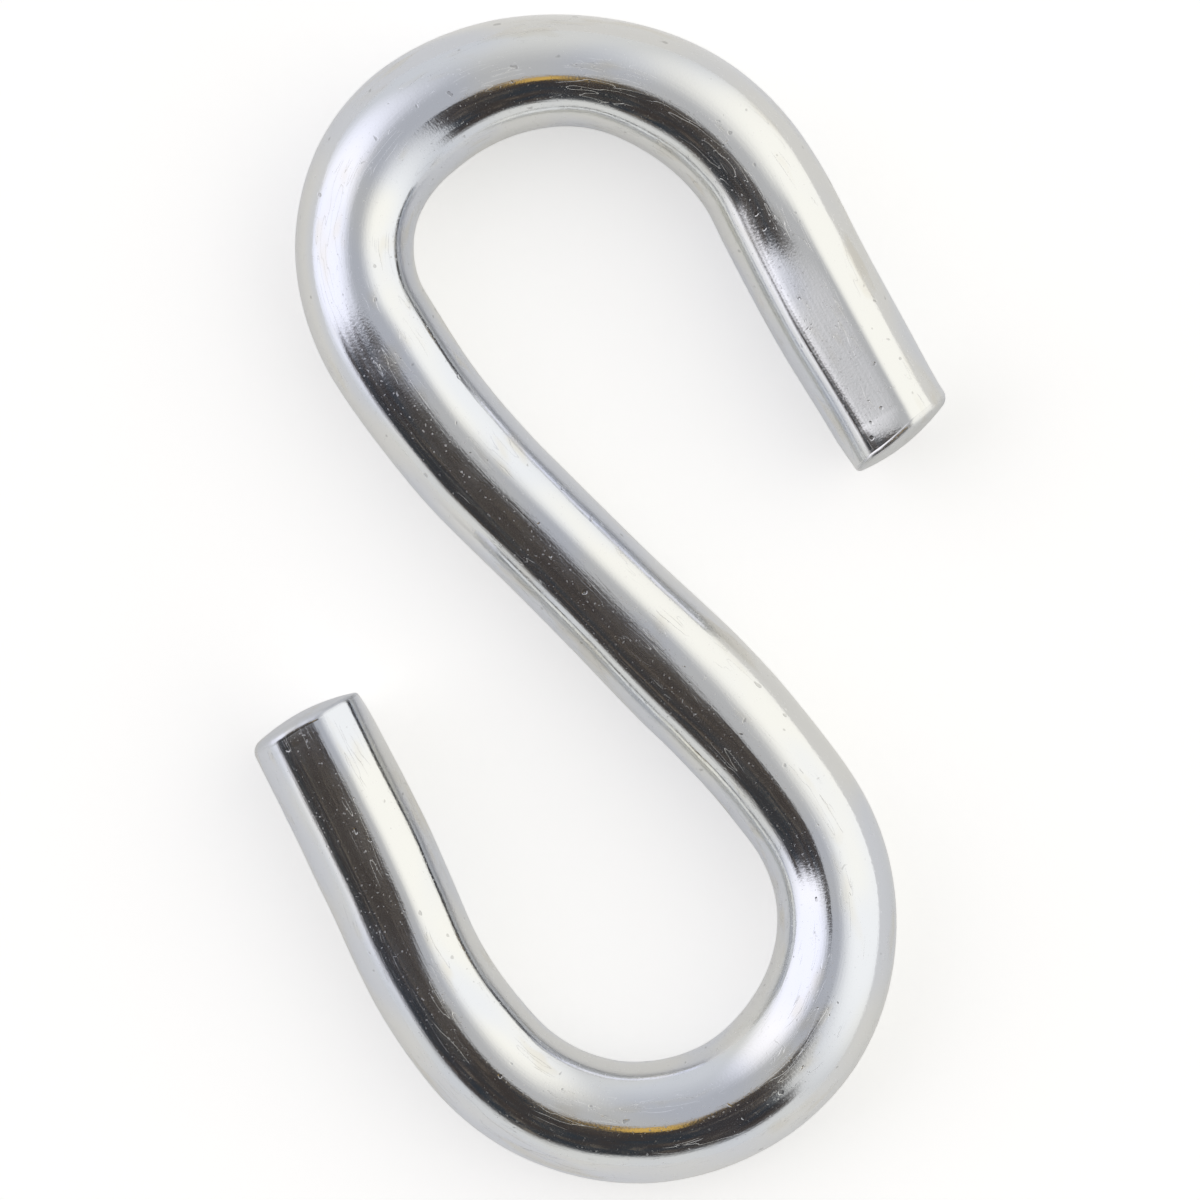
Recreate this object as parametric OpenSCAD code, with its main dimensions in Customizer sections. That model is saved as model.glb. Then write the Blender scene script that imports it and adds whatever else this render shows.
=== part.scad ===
// Open S hook bent cold from one length of round steel wire, lying flat.
// The wire is a straight shank with a hook at each end, both bent to the right as seen from
// the shank's middle. Each hook is three bends that run into one another, a short leg, a slight
// outward flare and a sheared, tumbled tip. The two hooks face opposite ways and aren't equal,
// as the wire is bent round a different pair of pins at each end.
// +Y runs from the lower hook's crown to the upper hook's, which is the way the load pulls.
// The origin is under the middle of the hook's box, on the surface that the hook lies on.

/* [Wire] */
// Diameter of the round wire
wire_d = 6.35; // [5:0.05:8]
// Straight length of the shank between the two hooks
shank_len = 14.3; // [10:0.1:24]

/* [Upper hook] */
// Inside radius of the easy bend that leads out of the shank
upper_sweep_inside_r = 35.4; // [20:0.1:60]
// Turn of the easy bend in degrees
upper_sweep_turn = 16.2; // [10:0.1:22]
// Inside radius of the tight bend at the shoulder
upper_shoulder_inside_r = 5; // [3.5:0.1:8]
// Turn of the shoulder in degrees
upper_shoulder_turn = 79; // [65:0.5:90]
// Inside radius of the crown, where the load hangs
upper_crown_inside_r = 8.8; // [6:0.1:14]
// Turn of the crown in degrees
upper_crown_turn = 103.1; // [90:0.1:112]
// Straight leg between the crown and the flare
upper_leg_len = 2.9; // [1:0.1:6]
// Turn of the outward flare in degrees
upper_flare_turn = 2.7; // [1:0.1:12]
// Straight length from the flare to the tip
upper_tip_len = 7; // [5.5:0.1:12]

/* [Lower hook] */
// Inside radius of the easy bend that leads out of the shank
lower_sweep_inside_r = 42; // [20:0.1:60]
// Turn of the easy bend in degrees
lower_sweep_turn = 9.9; // [5:0.1:16]
// Inside radius of the crown, where the load hangs
lower_crown_inside_r = 7.1; // [5:0.1:12]
// Turn of the crown in degrees
lower_crown_turn = 173; // [160:0.5:180]
// Inside radius of the easy bend between the crown and the leg
lower_heel_inside_r = 19.3; // [12:0.1:30]
// Turn of that easy bend in degrees
lower_heel_turn = 19; // [8:0.5:26]
// Straight leg between the heel and the flare
lower_leg_len = 1.7; // [1:0.1:6]
// Turn of the outward flare in degrees
lower_flare_turn = 3.2; // [1:0.1:12]
// Straight length from the flare to the tip
lower_tip_len = 5.6; // [5:0.1:12]

/* [Tips] */
// Radius of both flares, on the side that they bend towards
flare_inside_r = 95; // [40:1:200]
// Radius of the domed face that the shears and the tumbling leave
face_dome_r = 11; // [8:0.5:30]
// Radius of the rolled edge round each face
edge_roll_r = 0.4; // [0.2:0.05:0.9]
// Slant of the upper face, back towards the outer side, in degrees
upper_face_slant = 9; // [0:0.5:12]
// Slant of the lower face, back towards the outer side, in degrees
lower_face_slant = 1; // [0:0.5:12]
// Length of the pressed-in stretch on the inner side of the upper tip
upper_press_len = 4.5; // [2.5:0.1:5.4]
// How far the upper tip is pressed in at its end
upper_press_depth = 0.5; // [0.2:0.05:0.8]
// Length of the pressed-in stretch on the inner side of the lower tip
lower_press_len = 4.9; // [2.5:0.1:4.9]
// How far the lower tip is pressed in at its end
lower_press_depth = 0.3; // [0.2:0.05:0.8]

/* [Hidden] */
$fn = 96;
wire_r = wire_d / 2;
// How far inside the wire's side the rolled edge of a face lies, and how fast the form behind
// it opens out to the wire's side, in degrees
edge_setback = 0.05;
edge_draft = 8;
// How far a cutting form starts outside the wire, so that no two faces only graze
cut_lead = 0.02;
// How much too long a bend is drawn before its end is cut square
bend_surplus = 1;
// A cold bend draws the wire out: share of its radius that it loses in any bend, and what it
// loses besides in a bend whose radius is the wire's own, which is less in wider ones
bend_thinning = 0.008;
tight_thinning = 0.05;
edge_steps = 6;
dome_steps = 4;
degrees_a_point = 1;

// A step along the wire is [straight length, radius at the wire's centre, turn in degrees].
// A turn to the left is positive, and a step is either straight or a bend.
function straight(length) = [length, 0, 0];
function bend(inside_r, turn) = [0, inside_r + wire_r, turn];
function flare(turn) = bend(flare_inside_r, turn);
function drawn_r(bend_r) = wire_r * (1 - bend_thinning - tight_thinning * wire_r / bend_r);

upper_lead = [
    bend(upper_sweep_inside_r, -upper_sweep_turn),
    bend(upper_shoulder_inside_r, -upper_shoulder_turn)
];
upper_crown = bend(upper_crown_inside_r, -upper_crown_turn);
upper_leg = [straight(upper_leg_len), flare(upper_flare_turn)];
upper_bends = concat(upper_lead, [upper_crown], upper_leg);

lower_lead = [bend(lower_sweep_inside_r, -lower_sweep_turn)];
lower_crown = bend(lower_crown_inside_r, -lower_crown_turn);
lower_leg = [
    bend(lower_heel_inside_r, -lower_heel_turn),
    straight(lower_leg_len),
    flare(lower_flare_turn)
];
lower_bends = concat(lower_lead, [lower_crown], lower_leg);

// Where a step ends, seen from its own start with the wire leaving along +X
function step_end(step) = [
    step.x + step.y * abs(sin(step.z)),
    sign(step.z) * step.y * (1 - cos(step.z))
];

// A stop on the centre line is [x, y, heading in degrees].
function after(stop, step) =
    let (away = step_end(step))
    [
        stop.x + away.x * cos(stop.z) - away.y * sin(stop.z),
        stop.y + away.x * sin(stop.z) + away.y * cos(stop.z),
        stop.z + step.z
    ];
function stops(steps, stop, i = 0) =
    i == len(steps) ? [stop] : concat([stop], stops(steps, after(stop, steps[i]), i + 1));
function last_stop(steps, stop) = stops(steps, stop)[len(steps)];

// The shank's ends are where the two hooks start. The shank lies at the angle shank_turn.
function upper_start(shank_turn) = after([0, 0, shank_turn], straight(shank_len / 2));
function lower_start(shank_turn) = upper_start(shank_turn + 180);

// Middle of a bend to the right, from the stop where the bend starts
function bend_centre(stop, step) = [
    stop.x + step.y * sin(stop.z),
    stop.y - step.y * cos(stop.z)
];

// The load line joins the two crowns, and it is turned to lie along +Y.
upper_crown_centre = bend_centre(last_stop(upper_lead, upper_start(0)), upper_crown);
lower_crown_centre = bend_centre(last_stop(lower_lead, lower_start(0)), lower_crown);
load_line = upper_crown_centre - lower_crown_centre;
shank_turn = 90 - atan2(load_line.y, load_line.x);

// The rolled edge of a face runs round a circle, with its own small radius about it. The
// circle's size, how far the middle of the domed face stands out beyond it, and how far behind
// that middle its outer side lies
function edge_circle_r(slant) = (wire_r - edge_setback - edge_roll_r) / cos(slant);
function face_rise(slant) =
    face_dome_r - sqrt(pow(face_dome_r - edge_roll_r, 2) - pow(edge_circle_r(slant), 2));
function outer_edge_back(slant) = face_rise(slant) + edge_circle_r(slant) * sin(slant);

// Every stop on a hook, a degree apart on its bends and ending at the rolled edge of its tip
function points_on(step) = 1 + ceil(abs(step.z) / degrees_a_point);
function share(step, part) = [step.x * part, step.y, step.z * part];
function trail(bends, tip_len, slant, start) =
    let (
        steps = concat(bends, [straight(tip_len - outer_edge_back(slant))]),
        turns = stops(steps, start)
    )
    [
        for (i = [0 : len(steps) - 1])
            for (k = [0 : points_on(steps[i])])
                after(turns[i], share(steps[i], k / points_on(steps[i])))
    ];
whole_trail = concat(
    trail(upper_bends, upper_tip_len, upper_face_slant, upper_start(shank_turn)),
    trail(lower_bends, lower_tip_len, lower_face_slant, lower_start(shank_turn))
);

// Half the box that a section of the wire with a rolled rim takes up, along X and along Y
function half_box(stop) = [
    (wire_r - edge_roll_r) * abs(sin(stop.z)) + edge_roll_r,
    (wire_r - edge_roll_r) * abs(cos(stop.z)) + edge_roll_r
];
box_low = [
    min([for (stop = whole_trail) stop.x - half_box(stop).x]),
    min([for (stop = whole_trail) stop.y - half_box(stop).y])
];
box_high = [
    max([for (stop = whole_trail) stop.x + half_box(stop).x]),
    max([for (stop = whole_trail) stop.y + half_box(stop).y])
];
box_middle = (box_low + box_high) / 2;

// Puts the children at the end of a step that starts at the origin along +X. A bend turns them
// about its own centre.
module at_end(step) {
    pivot = sign(step.z) * step.y;
    translate([step.x, pivot, 0])
        rotate([0, 0, step.z])
            translate([0, -pivot, 0])
                children();
}

// One step of wire. A bend is drawn too long and cut square in the frame of the step after it,
// so that the two end faces lie in one plane.
module wire_step(step) {
    if (step.z == 0) {
        rotate([0, 90, 0])
            cylinder(r = wire_r, h = step.x);
    } else {
        side = sign(step.z);
        surplus_turn = side * bend_surplus / step.y * 180 / PI;
        difference() {
            translate([0, side * step.y, 0])
                rotate([0, 0, -side * 90])
                    rotate_extrude(angle = step.z + surplus_turn)
                        translate([step.y, 0])
                            circle(r = drawn_r(step.y));
            at_end(step)
                translate([0, -wire_d, -wire_d])
                    cube(2 * wire_d);
        }
    }
}

// The steps one after another, with the children at the end of the last
module wire_run(steps, i = 0) {
    if (i < len(steps)) {
        wire_step(steps[i]);
        at_end(steps[i])
            wire_run(steps, i + 1)
                children();
    } else {
        children();
    }
}

// Points of a round stretch, without its last one
function arc(centre, r, from, to, steps) = [
    for (i = [0 : steps - 1])
        let (a = from + (to - from) * i / steps)
        centre + r * [cos(a), sin(a)]
];

// Turned form of a tip, with its axis along +X and the circle of its rolled edge round the
// origin: the side opens backwards, the edge is rolled and the face is domed, with a small flat
// in its middle. It is turned a quarter about its axis, so that the seam of its outline doesn't
// lie on the wire's.
module tip_form(slant, length) {
    draft = slant + edge_draft;
    roll_centre = [edge_circle_r(slant), 0];
    dome_centre = [0, face_rise(slant) - face_dome_r];
    dome_edge = acos(edge_circle_r(slant) / (face_dome_r - edge_roll_r));
    flat_start = 90 - (90 - dome_edge) / dome_steps;
    side_start = roll_centre + edge_roll_r * [cos(draft), sin(draft)];
    back = -length - wire_d;
    rotate([0, 90, 0])
        rotate([0, 0, 90])
            rotate_extrude()
                polygon(concat(
                    [[0, back], [side_start.x + (side_start.y - back) * tan(draft), back]],
                    arc(roll_centre, edge_roll_r, draft, dome_edge, edge_steps),
                    arc(dome_centre, face_dome_r, dome_edge, 90, dome_steps),
                    [[0, dome_centre.y + face_dome_r * sin(flat_start)]]
                ));
}

// What is pressed off the inner side of a tip that ends at x = length: all that lies outside
// a wide round form whose side meets the wire press_len back from the end
module press_cut(length, press_len, press_depth) {
    form_r = pow(press_len, 2) / (2 * (press_depth + cut_lead));
    start = length - press_len;
    difference() {
        translate([start, -wire_d, -wire_d])
            cube([press_len + wire_d, wire_d, 2 * wire_d]);
        translate([start, form_r - wire_r - cut_lead, 0])
            cylinder(r = form_r, h = 3 * wire_d, center = true);
    }
}

// Straight end of the wire, with its inner side at -Y and its slanted face at x = length
module tip(length, slant, press_len, press_depth) {
    difference() {
        intersection() {
            rotate([0, 90, 0])
                cylinder(r = wire_r, h = length + wire_d);
            translate([length - face_rise(slant), 0, 0])
                rotate([0, 0, slant])
                    tip_form(slant, length);
        }
        press_cut(length, press_len, press_depth);
    }
}

module shank() {
    rotate([0, 90, 0])
        cylinder(r = wire_r, h = shank_len, center = true);
}

module s_hook() {
    color([0.78, 0.79, 0.81])
        translate([-box_middle.x, -box_middle.y, wire_r])
            rotate([0, 0, shank_turn]) {
                shank();
                translate([shank_len / 2, 0, 0])
                    wire_run(upper_bends)
                        tip(upper_tip_len, upper_face_slant, upper_press_len, upper_press_depth);
                rotate([0, 0, 180])
                    translate([shank_len / 2, 0, 0])
                        wire_run(lower_bends)
                            tip(lower_tip_len, lower_face_slant, lower_press_len, lower_press_depth);
            }
}

s_hook();
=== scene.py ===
import math

import bmesh
import bpy
import numpy as np
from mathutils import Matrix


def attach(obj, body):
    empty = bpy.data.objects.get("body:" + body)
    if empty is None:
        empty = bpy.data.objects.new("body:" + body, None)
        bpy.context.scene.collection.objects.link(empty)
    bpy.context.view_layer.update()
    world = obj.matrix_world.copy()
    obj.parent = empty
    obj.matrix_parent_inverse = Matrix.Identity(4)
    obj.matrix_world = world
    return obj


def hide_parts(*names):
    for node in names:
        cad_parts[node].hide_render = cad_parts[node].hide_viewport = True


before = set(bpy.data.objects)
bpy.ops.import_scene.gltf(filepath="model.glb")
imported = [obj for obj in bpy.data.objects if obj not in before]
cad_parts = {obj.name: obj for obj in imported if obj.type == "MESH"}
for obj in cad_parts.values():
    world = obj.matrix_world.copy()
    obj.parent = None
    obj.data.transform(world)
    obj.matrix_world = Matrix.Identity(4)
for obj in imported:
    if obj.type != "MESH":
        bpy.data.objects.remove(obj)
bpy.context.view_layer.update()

MM = 0.001
SEED = 41

# Sizes of the wire and its bends in millimetres and degrees, as in the part's source.
# A bend is (radius at the wire's centre, turn), and a straight is (0, length).
WIRE_R = 3.175
UPPER_STEPS = [(0, 7.15), (38.575, 16.2), (8.175, 79), (11.975, 103.1), (0, 2.9), (98.175, -2.7), (0, 7)]
LOWER_STEPS = [(0, 7.15), (45.175, 9.9), (10.275, 173), (22.475, 19), (0, 1.7), (98.175, -3.2), (0, 5.6)]
SHANK_ANGLE = 128.428
SHANK_MIDDLE = (-0.072, 0.207)

# A cold bend doesn't start at a point: its curve comes in over about this length of wire
BEND_EASE = 1.6

# Steps of the wire's line as it is worked out and as it is drawn, and points round each section
FINE_STEP = 0.01
STATION_GAP = 0.15
POINTS_ROUND = 96

# A bend thins the wire in the plane of the hook: by this share at this radius, and less across it
BEND_SQUEEZE = 0.018
SQUEEZED_BEND_R = 11
SQUEEZE_ACROSS = 0.2

# Marks of the bending pins and of handling: where along the wire from the shank's middle,
# how far each side moves out in its plane, and over what length of wire. The bell shape of a
# mark has this share of the length as its half width.
TOOL_MARKS = [
    (63.5, -0.16, 7.0), (38.9, -0.25, 8.0), (29.0, 0.10, 5.0), (22.4, -0.07, 5.0),
    (16.8, 0.06, 5.0), (3.8, -0.05, 6.0), (-6.4, 0.12, 6.5), (-20.2, -0.06, 5.5),
    (-27.6, 0.09, 5.0), (-45.9, 0.06, 5.0), (-58.8, 0.05, 4.0),
]
MARK_BELL = 0.6

# Slow waves that handling and tumbling leave, which only a mirror finish shows: length along the
# wire and height, and for those of the surface how many go round the wire
WIDTH_WAVE = (2.1, 0.008)
SURFACE_WAVES = [(9.0, 0.016, 1), (5.0, 0.011, 2), (3.1, 0.006, 3), (2.2, 0.0035, 5)]

# Shallow facets that the press and the bending tools leave on the upper side: where along the
# wire, over what length, lean from upright to the left of travel, depth and softness of the edge
FACETS = [
    (4.5, 15.5, 7.0, 0.20, 0.20),
    (59.5, 8.0, -9.5, 0.30, 0.07),
    (-61.5, 13.0, -6.0, 0.14, 0.10),
]

# Ends of the wire: slant back to the outer side, press on the inner side, radii of the rolled
# rim on the outer and the inner side
TIPS = {
    "upper": {"slant": 9.0, "press_len": 4.5, "press_depth": 0.3, "outer_roll": 0.42, "inner_roll": 0.28},
    "lower": {"slant": 1.0, "press_len": 5.0, "press_depth": 0.16, "outer_roll": 0.5, "inner_roll": 0.2},
}
# The inner side of each end, positive to the left of travel
INNER_SIDE = {"upper": -1.0, "lower": 1.0}

# The press starts this far outside the wire, comes in along a curve of this power and blends in
# over one part in so many of its length. Its edge is this soft.
PRESS_STANDOFF = 0.12
PRESS_POWER = 1.5
PRESS_BLEND = 6
PRESS_SOFTNESS = 0.1

# Domed face of each end. The rolled rim turns over by this angle in so many rings, and the face
# is as rough as a cut one from the ring of this number on.
FACE_DOME_R = 11.0
ROLL_TURN = 80
ROLL_RINGS = 9
ROUGH_RING = 4
RIM_ROOM = 0.75

# Rings of the face by their share of its size, how much of the rim's set-back the face keeps and
# how far its middle stands out over that
FACE_RINGS = (0.93, 0.86, 0.78, 0.69, 0.6, 0.5, 0.4, 0.3, 0.2, 0.1, 0.03)
FACE_KEEPS = 0.4
FACE_RISE = 0.02

# Waves of the sheared edge: how many go round, where they start in radians, and their height
SHEAR_WAVES = [(2, 0.7, 0.03), (3, 2.0, 0.02), (5, 0.0, 0.012)]

# Cold bending lifts the ends a little out of the plane: where along the wire from each end a lift
# starts, over what length it comes in and its angle
LIFTS = {"upper": (15.0, 4.0, 2.3), "lower": (17.0, 6.0, 1.8)}

# Patterns of the plating: marks in a millimetre across the wire, how often they come along it for
# each one across, detail and roughness. The real grain is finer than a hundredth of a millimetre.
# It is drawn at about an eighth, so that it shows.
PLATING_PATTERNS = {
    "draw_lines": (6.0, 0.06, 2.0, 0.7),
    "scratches": (3.2, 0.12, 1.0, 0.4),
    "grains": (8.0, 1.0, 1.0, 0.5),
    "flecks": (7.5, 1.0, 0.0, 0.55),
    "pits": (2.4, 1.0, 0.0, 0.55),
    "stains": (0.6, 0.35, 2.0, 0.65),
    "tints": (0.22, 0.5, 1.0, 0.6),
}

# Marks on the plating: the pattern each comes from, and the values between which it fades in.
# A scratch is as wide as this to each side of the middle value of its pattern.
PLATING_MARKS = {
    "pit": ("pits", 0.80, 0.86),
    "fleck": ("flecks", 0.70, 0.84),
    "stain": ("stains", 0.35, 0.70),
    "scratched": ("stains", 0.50, 0.62),
    "straw_tint": ("stains", 0.56, 0.72),
    "blue_tint": ("tints", 0.42, 0.62),
}
SCRATCH_REACH = 0.006

# What the marks add to clean zinc: their colour and how much of it, their roughness, and their
# height in millimetres
ZINC_COLOUR = "#E9E9E6"
MARK_COLOURS = {
    "blue_tint": ("#E0E3E9", 1.0),
    "straw_tint": ("#DDD8CA", 0.5),
    "pit": ("#6E6A64", 0.3),
    "cut_end": ("#BFC1C4", 0.4),
}
CLEAN_ROUGHNESS = 0.09
MARK_ROUGHNESS = {"stain": 0.06, "cut_end": 0.25, "fleck": 0.22}
MARK_HEIGHTS = {"draw_lines": 0.003, "grains": 0.0018, "pit": -0.006, "scratch": -0.006, "cut_grain": 0.14}

# The photograph looks straight down, leans by this many degrees and is this wide
PHOTO_LEAN = -7.012
PHOTO_WIDTH = 61.54
PHOTO_MIDDLE = (-0.214, -0.2085)
CAMERA_DISTANCE = 620.0
CLIP_START, CLIP_END = 0.01, 10.0

# Half the table's side in metres. How much the light table adds to its paper, seen straight from
# above and at the low angle that the sides of the wire mirror it at.
TABLE_HALF = 1.6
PAPER_GLOW = 0.49
PAPER_GLOW_MIRRORED = 0.22

# How far the walls of the room are from its middle, as the wire mirrors them, and where the
# middle lies on the table, in metres
ROOM_R = 0.38
ROOM_MIDDLE = (0.010, 0.010, 0.0)

# The room in degrees. The walls grow paler from the first angle from the zenith to the second.
WALLS_PALER = (11.46, 74.48)

# The dark gap: its middle as the photograph shows it, from the right, where half its width fades
# out, where it starts and ends from the zenith, and how ragged its edge is, in radians
DARK_MIDDLE = -106.0
DARK_HALF_WIDTH = (48, 54)
DARK_START, DARK_END = (10, 14), (66, 76)
DARK_RAGGED = 0.35

# The gilt strip: where it starts and ends from the zenith, and round from the dark gap's middle,
# and how much of it shows
STRIP_START, STRIP_END = (11, 14), (19, 23)
STRIP_FROM, STRIP_TO = (4, 10), (22, 28)
STRIP_SHARE = 0.9

# How fine the patterns of the gap's ragged edge and of its specks are: waves to one radius of the
# room
RAGGED_SCALE = 4.0
SPECK_SCALE = 16.0

# Soft glows: azimuth as the photograph shows it, angle from the zenith, how far the light
# spreads at full and at all, in degrees, its colour and how bright a mirror would show it
SOFT_GLOWS = [
    (176, 56, 20, 46, "#F8F7FF", 1.30),
    (12, 62, 26, 62, "#FFFEFA", 1.14),
]

# Softboxes: azimuth and angle from the zenith as above, distance, width and height in metres,
# colour and brightness
SOFTBOXES = {
    "west_softbox": (178, 52, 0.8, 0.5, 0.4, "#F1F0FF", 0.3),
    "east_softbox": (14, 58, 0.8, 0.6, 0.7, "#FFFBF2", 0.3),
}


def linear(hex_colour):
    """A colour written as sRGB hex, as linear red, green, blue and alpha."""
    values = [int(hex_colour[i:i + 2], 16) / 255 for i in (1, 3, 5)]
    return [v / 12.92 if v <= 0.04045 else ((v + 0.055) / 1.055) ** 2.4 for v in values] + [1.0]


def add(tree, kind, inputs, **settings):
    """Adds a node with its settings, links or sets its inputs, which come in order or by name, and
    gives its outputs."""
    made = tree.nodes.new(kind)
    for name, value in settings.items():
        setattr(made, name, value)
    for socket, value in inputs.items() if isinstance(inputs, dict) else enumerate(inputs):
        if isinstance(value, bpy.types.NodeSocket):
            tree.links.new(value, made.inputs[socket])
        else:
            made.inputs[socket].default_value = value
    return made.outputs


def empty_tree(holder):
    """The cleared node tree of a material or of the world."""
    holder.use_nodes = True
    holder.node_tree.nodes.clear()
    return holder.node_tree


def put(name, data):
    """An object in the scene for a mesh, a lamp or a camera."""
    made = bpy.data.objects.new(name, data)
    bpy.context.collection.objects.link(made)
    return made


def aim_from(azimuth, zenith):
    """The direction at an azimuth, as the photograph shows it, and an angle from the zenith."""
    a, z = math.radians(azimuth + PHOTO_LEAN), math.radians(zenith)
    return math.sin(z) * math.cos(a), math.sin(z) * math.sin(a), math.cos(z)


def smooth_steps(rng, count, length):
    """Random heights along the wire's stations that change over about the given length."""
    knots = np.arange(-1, count * STATION_GAP / length + 3)
    heights = rng.standard_normal(len(knots))
    place = np.arange(count) * STATION_GAP / length
    low = np.floor(place).astype(int)
    part = place - low
    part = part * part * (3 - 2 * part)
    return heights[low + 1] * (1 - part) + heights[low + 2] * part


def step_length(step):
    """Length of wire in a bend or a straight."""
    radius, amount = step
    return amount if radius == 0 else radius * abs(math.radians(amount))


def curvature(steps, along):
    """Curvature of one hook at distances from the shank's middle, positive to the inner side."""
    values = np.zeros_like(along)
    start = 0.0
    for step in steps:
        end = start + step_length(step)
        if step[0]:
            values[(along >= start) & (along < end)] = math.copysign(1 / step[0], step[1])
        start = end
    return values


def wire_path():
    """Distances, points, headings and curvature along the wire, from the lower tip to the upper.

    Curvature is positive to the left."""
    upper_end = sum(step_length(step) for step in UPPER_STEPS)
    lower_end = sum(step_length(step) for step in LOWER_STEPS)
    along = np.arange(-lower_end, upper_end + FINE_STEP, FINE_STEP)
    # Each hook bends to its own right as seen from the shank, so up the wire the lower one
    # turns to the left and the upper one to the right
    curve = np.where(along >= 0, -curvature(UPPER_STEPS, along), curvature(LOWER_STEPS, -along))
    window = np.hanning(int(BEND_EASE * 2 / FINE_STEP))
    padded = np.pad(curve, len(window), mode="constant")
    eased = np.convolve(padded, window / window.sum(), mode="same")[len(window):-len(window)]
    middle = int(round(lower_end / FINE_STEP))
    heading = np.cumsum(eased) * FINE_STEP
    heading = heading - heading[middle] + math.radians(SHANK_ANGLE)
    steps = np.stack([np.cos(heading), np.sin(heading)], axis=1) * FINE_STEP
    points = np.cumsum(steps, axis=0)
    points = points - points[middle] + np.array(SHANK_MIDDLE)
    keep = np.arange(0, len(along), int(STATION_GAP / FINE_STEP))
    return along[keep], points[keep], heading[keep], eased[keep]


def smallest(values, limit, softness):
    """The values held below a limit, with a soft corner."""
    gap = values - limit
    return values - 0.5 * (gap + np.sqrt(gap * gap + softness * softness))


def worn_sections(rng, along, curve, around):
    """Side and height of each point of each section, the side positive to the left of travel."""
    side, up = np.cos(around), np.sin(around)
    count = len(along)
    squeeze = BEND_SQUEEZE * np.abs(curve) * SQUEEZED_BEND_R
    half_wide = WIRE_R * (1 - squeeze)
    half_high = WIRE_R * (1 - SQUEEZE_ACROSS * squeeze)
    for place, out, length in TOOL_MARKS:
        half_wide += out * np.exp(-((along - place) / (length * MARK_BELL)) ** 2)
    wave_length, wave_height = WIDTH_WAVE
    half_wide += wave_height * smooth_steps(rng, count, wave_length)
    wide = half_wide[:, None] * side
    high = half_high[:, None] * up
    for length, height, turns in SURFACE_WAVES:
        for phase in (np.cos(turns * around), np.sin(turns * around)):
            wave = height * smooth_steps(rng, count, length)[:, None] * phase
            wide += wave * side
            high += wave * up
    return wide, high


def with_facets(along, wide, high):
    """The sections with the facets cut off them."""
    for place, length, lean, depth, softness in FACETS:
        lean_side, lean_up = math.sin(math.radians(lean)), math.cos(math.radians(lean))
        on_facet = np.exp(-((along - place) / length) ** 4)[:, None]
        reach = lean_side * wide + lean_up * high
        taken = (reach - smallest(reach, WIRE_R - depth, softness)) * on_facet
        wide = wide - taken * lean_side
        high = high - taken * lean_up
    return wide, high


def with_pressed_ends(from_end, wide):
    """The sides of the sections with the inner side of each end pressed in."""
    for name, tip in TIPS.items():
        reach = np.clip(1 - from_end[name] / tip["press_len"], 0, 1)
        travel = tip["press_depth"] + PRESS_STANDOFF
        limit = (WIRE_R + PRESS_STANDOFF - travel * reach ** PRESS_POWER)[:, None]
        inner = INNER_SIDE[name] * wide
        held = smallest(inner, limit, PRESS_SOFTNESS)
        blend = np.clip(reach * PRESS_BLEND, 0, 1)[:, None]
        wide = wide + INNER_SIDE[name] * (held - inner) * blend
    return wide


def end_lift(from_end):
    """How far each station is lifted out of the hook's plane."""
    lift = 0.0
    for name, (start, length, angle) in LIFTS.items():
        beyond = np.clip(start - from_end[name], 0, None)
        eased = np.where(beyond < length, beyond * beyond / (2 * length), beyond - length / 2)
        lift = lift + math.tan(math.radians(angle)) * eased
    return lift


def rim_and_face(tip, outer):
    """Each ring's share of the section's size and how far back it lies, from the wall inwards.

    outer is 1 at a point on the outer side of the hook and -1 on the inner side."""
    roll = tip["inner_roll"] + (tip["outer_roll"] - tip["inner_roll"]) * (outer + 1) / 2
    rings = []
    for turn in np.radians(np.linspace(0, ROLL_TURN, ROLL_RINGS)):
        rings.append((1 - roll * (1 - math.cos(turn)) / WIRE_R, roll * (1 - math.sin(turn))))
    rim_share, rim_back = rings[-1]
    for share in FACE_RINGS:
        rings.append((rim_share * share, rim_back * share * FACE_KEEPS - FACE_RISE * (1 - share)))
    return rings


def end_rings(name, around, wide, high):
    """Rings of one end, from the wall to the middle of its face: sides, heights, how far back of
    the end each point lies, and how rough the ring is."""
    tip = TIPS[name]
    to_outer = -INNER_SIDE[name]
    slant = math.tan(math.radians(tip["slant"]))
    sheared = sum(height * np.cos(turns * around + start) for turns, start, height in SHEAR_WAVES)
    rings = []
    for number, (share, back) in enumerate(rim_and_face(tip, to_outer * np.cos(around))):
        sides, heights = wide * share, high * share
        dome = np.hypot(sides, heights) ** 2 / (2 * FACE_DOME_R)
        set_back = dome + slant * to_outer * sides + back + sheared * np.minimum(1, share ** 2)
        rings.append((sides, heights, set_back, min(1.0, number / ROUGH_RING)))
    return rings


def rim_stations(name):
    """How many stations from the end the wall gives way to the rolled rim."""
    slant = math.tan(math.radians(TIPS[name]["slant"]))
    room = WIRE_R ** 2 / (2 * FACE_DOME_R) + slant * WIRE_R + RIM_ROOM
    return int(math.ceil(room / STATION_GAP))


def tube_faces(ring_count):
    """Quads from each ring to the next, and a fan of triangles round the middle of each end."""
    here = np.arange(POINTS_ROUND)
    following = (here + 1) % POINTS_ROUND
    last_ring = (ring_count - 1) * POINTS_ROUND
    first_middle, last_middle = ring_count * POINTS_ROUND, ring_count * POINTS_ROUND + 1
    faces = []
    for ring in range(0, last_ring, POINTS_ROUND):
        beyond = ring + POINTS_ROUND
        faces += np.column_stack([ring + here, ring + following, beyond + following, beyond + here]).tolist()
    for i, j in zip(here.tolist(), following.tolist()):
        faces += [[j, i, first_middle], [last_ring + i, last_ring + j, last_middle]]
    return faces


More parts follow.
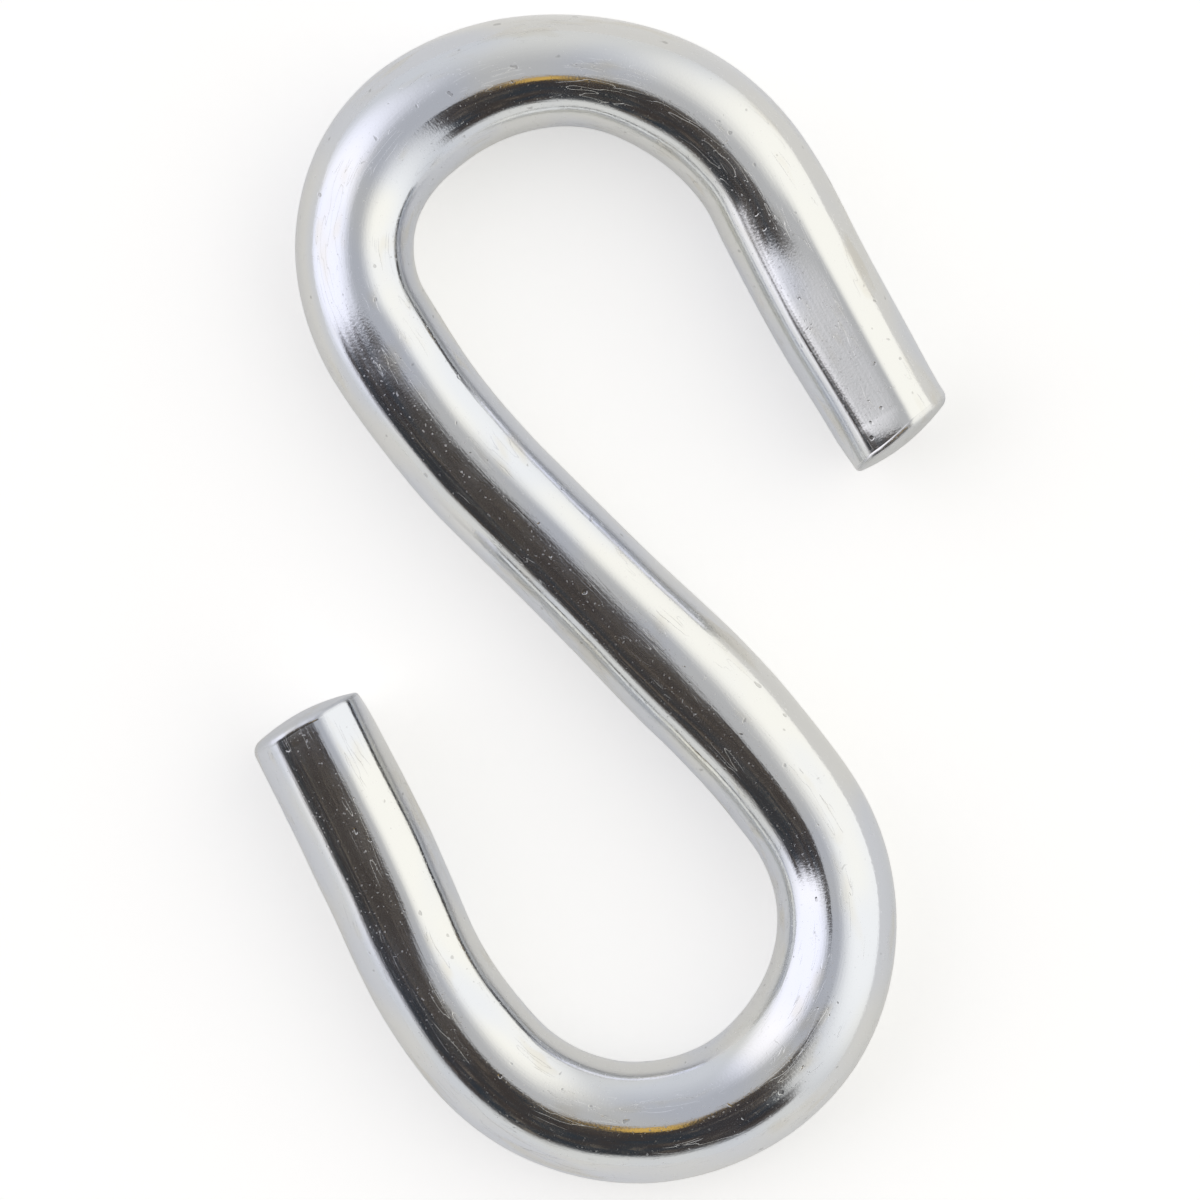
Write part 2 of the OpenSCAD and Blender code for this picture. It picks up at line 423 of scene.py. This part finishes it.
def hook_mesh():
    """The hook's surface: one round wire swept along its bends, with marked sides and worked ends."""
    rng = np.random.default_rng(SEED)
    along, points, heading, curve = wire_path()
    around = np.arange(POINTS_ROUND) * 2 * math.pi / POINTS_ROUND
    from_end = {"upper": along[-1] - along, "lower": along - along[0]}
    wide, high = worn_sections(rng, along, curve, around)
    wide, high = with_facets(along, wide, high)
    wide = with_pressed_ends(from_end, wide)
    lift = end_lift(from_end)

    # Rings from the lower tip to the upper: station, sides, heights, distance ahead, roughness
    last = len(along) - 1
    lower_end = [(0, *ring) for ring in reversed(end_rings("lower", around, wide[0], high[0]))]
    in_wall = range(rim_stations("lower"), last - rim_stations("upper") + 1)
    wall = [(at, wide[at], high[at], np.zeros(POINTS_ROUND), 0.0) for at in in_wall]
    upper_rings = end_rings("upper", around, wide[last], high[last])
    upper_end = [(last, sides, heights, -back, rough) for sides, heights, back, rough in upper_rings]

    left = np.stack([-np.sin(heading), np.cos(heading)], axis=1)
    ahead = np.stack([np.cos(heading), np.sin(heading)], axis=1)
    rings, places, roughness = [], [], []
    for at, sides, heights, forward, rough in lower_end + wall + upper_end:
        flat = points[at] + left[at] * sides[:, None] + ahead[at] * forward[:, None]
        rings.append(np.column_stack([flat, heights + WIRE_R + lift[at]]))
        places.append(np.column_stack([along[at] + forward, sides, heights]))
        roughness.append(np.full(POINTS_ROUND, rough))
    vertices = np.vstack(rings + [rings[0].mean(axis=0), rings[-1].mean(axis=0)])
    vertices[:, 2] -= vertices[:, 2].min()
    places = np.vstack(places + [(along[0], 0, 0), (along[-1], 0, 0)])
    roughness = np.concatenate(roughness + [np.ones(2)])

    mesh = bpy.data.meshes.new("hook_wire")
    mesh.from_pydata((vertices * MM).tolist(), [], tube_faces(len(rings)))
    mesh.update()
    spot = mesh.attributes.new("unbent_place", "FLOAT_VECTOR", "POINT")
    spot.data.foreach_set("vector", places.astype(np.float32).ravel())
    end = mesh.attributes.new("end_face", "FLOAT", "POINT")
    end.data.foreach_set("value", roughness.astype(np.float32))
    mesh.polygons.foreach_set("use_smooth", [True] * len(mesh.polygons))
    return mesh


def zinc_material():
    """Bright zinc plated on tumbled steel wire: almost a mirror, with the drawing's fine lines
    under the plating, its small grains and matt flecks, pits and scratches from tumbling, and the
    faint blue and straw tints of the clear passivation. The cut ends are rougher and greyer."""
    material = bpy.data.materials.new("bright_zinc_plated_steel")
    tree = empty_tree(material)
    place = add(tree, "ShaderNodeAttribute", {}, attribute_name="unbent_place")["Vector"]
    end_face = add(tree, "ShaderNodeAttribute", {}, attribute_name="end_face")["Fac"]

    marks = {"cut_end": end_face}
    for name, (across, along, detail, rough) in PLATING_PATTERNS.items():
        drawn_out = add(tree, "ShaderNodeVectorMath", [place, (along, 1.0, 1.0)], operation="MULTIPLY")[0]
        wanted = {"Vector": drawn_out, "Scale": across, "Detail": detail, "Roughness": rough}
        marks[name] = add(tree, "ShaderNodeTexNoise", wanted)[0]
    for name, (pattern, none, full) in PLATING_MARKS.items():
        span = [marks[pattern], none, full]
        marks[name] = add(tree, "ShaderNodeMapRange", span, interpolation_type="SMOOTHSTEP")[0]
    # A scratch runs where its pattern crosses the middle value, in the scratched patches only
    off_middle = add(tree, "ShaderNodeMath", [marks["scratches"], 0.5], operation="SUBTRACT")[0]
    off_middle = add(tree, "ShaderNodeMath", [off_middle], operation="ABSOLUTE")[0]
    span = [off_middle, 0.0, SCRATCH_REACH, 1.0, 0.0]
    line = add(tree, "ShaderNodeMapRange", span, interpolation_type="SMOOTHSTEP")[0]
    marks["scratch"] = add(tree, "ShaderNodeMath", [line, marks["scratched"]], operation="MULTIPLY")[0]
    marks["cut_grain"] = add(tree, "ShaderNodeMath", [marks["stains"], end_face], operation="MULTIPLY")[0]

    colour = linear(ZINC_COLOUR)
    for name, (mark_colour, amount) in MARK_COLOURS.items():
        share = add(tree, "ShaderNodeMath", [marks[name], amount], operation="MULTIPLY")[0]
        colours = {0: share, 6: colour, 7: linear(mark_colour)}
        colour = add(tree, "ShaderNodeMix", colours, data_type="RGBA")[2]
    roughness = CLEAN_ROUGHNESS
    for name, amount in MARK_ROUGHNESS.items():
        terms = [marks[name], amount, roughness]
        roughness = add(tree, "ShaderNodeMath", terms, operation="MULTIPLY_ADD")[0]
    height = 0.0
    for name, amount in MARK_HEIGHTS.items():
        height = add(tree, "ShaderNodeMath", [marks[name], amount, height], operation="MULTIPLY_ADD")[0]
    bump = add(tree, "ShaderNodeBump", {"Strength": 1.0, "Distance": MM, "Height": height})[0]

    finish = {"Base Color": colour, "Metallic": 1.0, "Roughness": roughness, "Normal": bump}
    surface = add(tree, "ShaderNodeBsdfPrincipled", finish)[0]
    add(tree, "ShaderNodeOutputMaterial", {"Surface": surface})
    return material


def paper_material():
    """White matt paper, lit from below as on a light table, so that it keeps only a soft shadow."""
    material = bpy.data.materials.new("white_paper_table")
    tree = empty_tree(material)
    paper = add(tree, "ShaderNodeBsdfDiffuse", {"Color": linear("#DAD9D6")})[0]
    ray = add(tree, "ShaderNodeLightPath", {})
    rays = [ray["Is Glossy Ray"], ray["Is Transmission Ray"]]
    mirrored = add(tree, "ShaderNodeMath", rays, operation="ADD")[0]
    seen = add(tree, "ShaderNodeMath", [ray["Is Camera Ray"], PAPER_GLOW], operation="MULTIPLY")[0]
    strength = [mirrored, PAPER_GLOW_MIRRORED, seen]
    strength = add(tree, "ShaderNodeMath", strength, operation="MULTIPLY_ADD")[0]
    glow = add(tree, "ShaderNodeEmission", {"Color": linear("#FFFFFF"), "Strength": strength})[0]
    both = add(tree, "ShaderNodeAddShader", [paper, glow])[0]
    add(tree, "ShaderNodeOutputMaterial", {"Surface": both})
    return material


def fade(tree, value, start, end=None):
    """1 from where start, a pair of angles in degrees, ends to where end starts, and 0 outside."""
    shares = [(start, (0.0, 1.0))] + ([(end, (1.0, 0.0))] if end else [])
    whole = 1.0
    for angles, levels in shares:
        span = [value, *(math.radians(angle) for angle in angles), *levels]
        part = add(tree, "ShaderNodeMapRange", span, interpolation_type="SMOOTHSTEP")[0]
        whole = add(tree, "ShaderNodeMath", [whole, part], operation="MULTIPLY")[0]
    return whole


def room_colour(tree, towards):
    """The room that the wire mirrors: pale walls, two soft glows, and between them a dark gap with
    a few paler specks in it and a gilt strip near the zenith."""
    turn = (0, 0, math.radians(-DARK_MIDDLE - PHOTO_LEAN))
    turned = add(tree, "ShaderNodeMapping", {"Vector": towards, "Rotation": turn})[0]
    parts = add(tree, "ShaderNodeSeparateXYZ", [turned])
    azimuth = add(tree, "ShaderNodeMath", [parts[1], parts[0]], operation="ARCTAN2")[0]
    height = add(tree, "ShaderNodeMath", [parts[2], 1.0], operation="MINIMUM")[0]
    height = add(tree, "ShaderNodeMath", [height, -1.0], operation="MAXIMUM")[0]
    zenith = add(tree, "ShaderNodeMath", [height], operation="ARCCOSINE")[0]

    wanted = {"Vector": turned, "Scale": RAGGED_SCALE, "Detail": 3.0, "Roughness": 0.55}
    ragged = add(tree, "ShaderNodeTexNoise", wanted)[0]
    ragged = add(tree, "ShaderNodeMath", [ragged, 0.5], operation="SUBTRACT")[0]
    ragged = add(tree, "ShaderNodeMath", [ragged, DARK_RAGGED], operation="MULTIPLY")[0]
    round_from = add(tree, "ShaderNodeMath", [azimuth], operation="ABSOLUTE")[0]
    round_from = add(tree, "ShaderNodeMath", [round_from, ragged], operation="ADD")[0]
    down = add(tree, "ShaderNodeMath", [ragged, 0.5, zenith], operation="MULTIPLY_ADD")[0]
    past_side = fade(tree, round_from, DARK_HALF_WIDTH)
    in_width = add(tree, "ShaderNodeMath", [1.0, past_side], operation="SUBTRACT")[0]
    in_height = fade(tree, down, DARK_START, DARK_END)
    dark = add(tree, "ShaderNodeMath", [in_width, in_height], operation="MULTIPLY")[0]

    paler = {0: fade(tree, zenith, WALLS_PALER), 6: linear("#C1C2C6"), 7: linear("#E2E3E4")}
    room = add(tree, "ShaderNodeMix", paler, data_type="RGBA")[2]
    for glow_azimuth, glow_zenith, full, spread, colour, brightness in SOFT_GLOWS:
        aim = aim_from(glow_azimuth, glow_zenith)
        facing = add(tree, "ShaderNodeVectorMath", [towards, aim], operation="DOT_PRODUCT")["Value"]
        span = [facing, math.cos(math.radians(spread)), math.cos(math.radians(full))]
        share = add(tree, "ShaderNodeMapRange", span, interpolation_type="SMOOTHSTEP")[0]
        lit = [value * brightness for value in linear(colour)[:3]] + [1.0]
        room = add(tree, "ShaderNodeMix", {0: share, 6: room, 7: lit}, data_type="RGBA")[2]

    warmer = add(tree, "ShaderNodeMapRange", [ragged, -0.03, 0.03], interpolation_type="SMOOTHSTEP")[0]
    shades = {0: warmer, 6: linear("#403B3A"), 7: linear("#323941")}
    gap = add(tree, "ShaderNodeMix", shades, data_type="RGBA")[2]
    wanted = {"Vector": turned, "Scale": SPECK_SCALE, "Detail": 2.0, "Roughness": 0.7}
    specks = add(tree, "ShaderNodeTexNoise", wanted)[0]
    specks = add(tree, "ShaderNodeMapRange", [specks, 0.56, 0.68], interpolation_type="SMOOTHSTEP")[0]
    gap = add(tree, "ShaderNodeMix", {0: specks, 6: gap, 7: linear("#776E64")}, data_type="RGBA")[2]
    sky = add(tree, "ShaderNodeMix", {0: dark, 6: room, 7: gap}, data_type="RGBA")[2]

    strip = [fade(tree, zenith, STRIP_START, STRIP_END), fade(tree, azimuth, STRIP_FROM, STRIP_TO)]
    strip = add(tree, "ShaderNodeMath", strip, operation="MULTIPLY")[0]
    strip = add(tree, "ShaderNodeMath", [strip, STRIP_SHARE], operation="MULTIPLY")[0]
    return add(tree, "ShaderNodeMix", {0: strip, 6: sky, 7: linear("#E8BE66")}, data_type="RGBA")[2]


def studio():
    """The room's light from far away, on the table and in the background."""
    world = bpy.data.worlds.new("studio")
    bpy.context.scene.world = world
    # The sky has no small bright spot, so it needs no lamp sampling of its own
    world.cycles.sampling_method = "NONE"
    tree = empty_tree(world)
    sky = room_colour(tree, add(tree, "ShaderNodeTexCoord", {})["Generated"])
    light = add(tree, "ShaderNodeBackground", {"Color": sky, "Strength": 1.0})[0]
    add(tree, "ShaderNodeOutputWorld", {"Surface": light})


def wall_material():
    """Painted walls, evenly lit, so that they only glow in their own colours and have no gloss."""
    material = bpy.data.materials.new("pale_studio_walls")
    material.cycles.emission_sampling = "NONE"
    tree = empty_tree(material)
    place = add(tree, "ShaderNodeTexCoord", {})["Object"]
    towards = add(tree, "ShaderNodeVectorMath", [place], operation="NORMALIZE")[0]
    walls = add(tree, "ShaderNodeEmission", {"Color": room_colour(tree, towards), "Strength": 1.0})[0]
    add(tree, "ShaderNodeOutputMaterial", {"Surface": walls})
    return material


def mirrored_walls():
    """The same room close by, seen only by what mirrors it, so that each bend shows it from its
    own place."""
    mesh = bpy.data.meshes.new("mirrored_walls")
    shape = bmesh.new()
    bmesh.ops.create_uvsphere(shape, u_segments=96, v_segments=48, radius=ROOM_R)
    shape.to_mesh(mesh)
    shape.free()
    mesh.materials.append(wall_material())
    made = put("mirrored_walls", mesh)
    made.location = ROOM_MIDDLE
    for kind in ("camera", "diffuse", "shadow", "transmission"):
        setattr(made, "visible_" + kind, False)


def softbox(name, azimuth, zenith, distance, wide, tall, colour, brightness):
    """A flat lamp aimed at the hook, as bright as a mirror turned to it would show."""
    lamp = bpy.data.lights.new(name, "AREA")
    lamp.shape = "RECTANGLE"
    lamp.size, lamp.size_y = wide, tall
    lamp.color = linear(colour)[:3]
    lamp.energy = brightness * math.pi * wide * tall
    made = put(name, lamp)
    made.location = [distance * part for part in aim_from(azimuth, zenith)]
    made.rotation_euler = (0, math.radians(zenith), math.radians(azimuth + PHOTO_LEAN))


def table():
    """The paper that the hook lies on."""
    mesh = bpy.data.meshes.new("table")
    corners = [(x * TABLE_HALF, y * TABLE_HALF, 0) for x, y in ((-1, -1), (1, -1), (1, 1), (-1, 1))]
    mesh.from_pydata(corners, [], [(0, 1, 2, 3)])
    mesh.materials.append(paper_material())
    put("table", mesh)


def camera():
    """The camera straight above, framed as the photograph is."""
    lens = bpy.data.cameras.new("camera")
    lens.sensor_fit = "HORIZONTAL"
    lens.angle = 2 * math.atan(PHOTO_WIDTH / 2 / CAMERA_DISTANCE)
    lens.clip_start, lens.clip_end = CLIP_START, CLIP_END
    made = put("camera", lens)
    made.location = (PHOTO_MIDDLE[0] * MM, PHOTO_MIDDLE[1] * MM, (CAMERA_DISTANCE + WIRE_R) * MM)
    made.rotation_euler = (0, 0, math.radians(PHOTO_LEAN))
    bpy.context.scene.camera = made


zinc = zinc_material()
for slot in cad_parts["s_hook"].material_slots:
    slot.material = zinc

hook = put("hook_wire", hook_mesh())
hook.data.materials.append(zinc)
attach(hook, "root")
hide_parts("s_hook")

table()
studio()
mirrored_walls()
for box_name, box in SOFTBOXES.items():
    softbox(box_name, *box)
camera()
bpy.context.scene.view_settings.view_transform = "Standard"
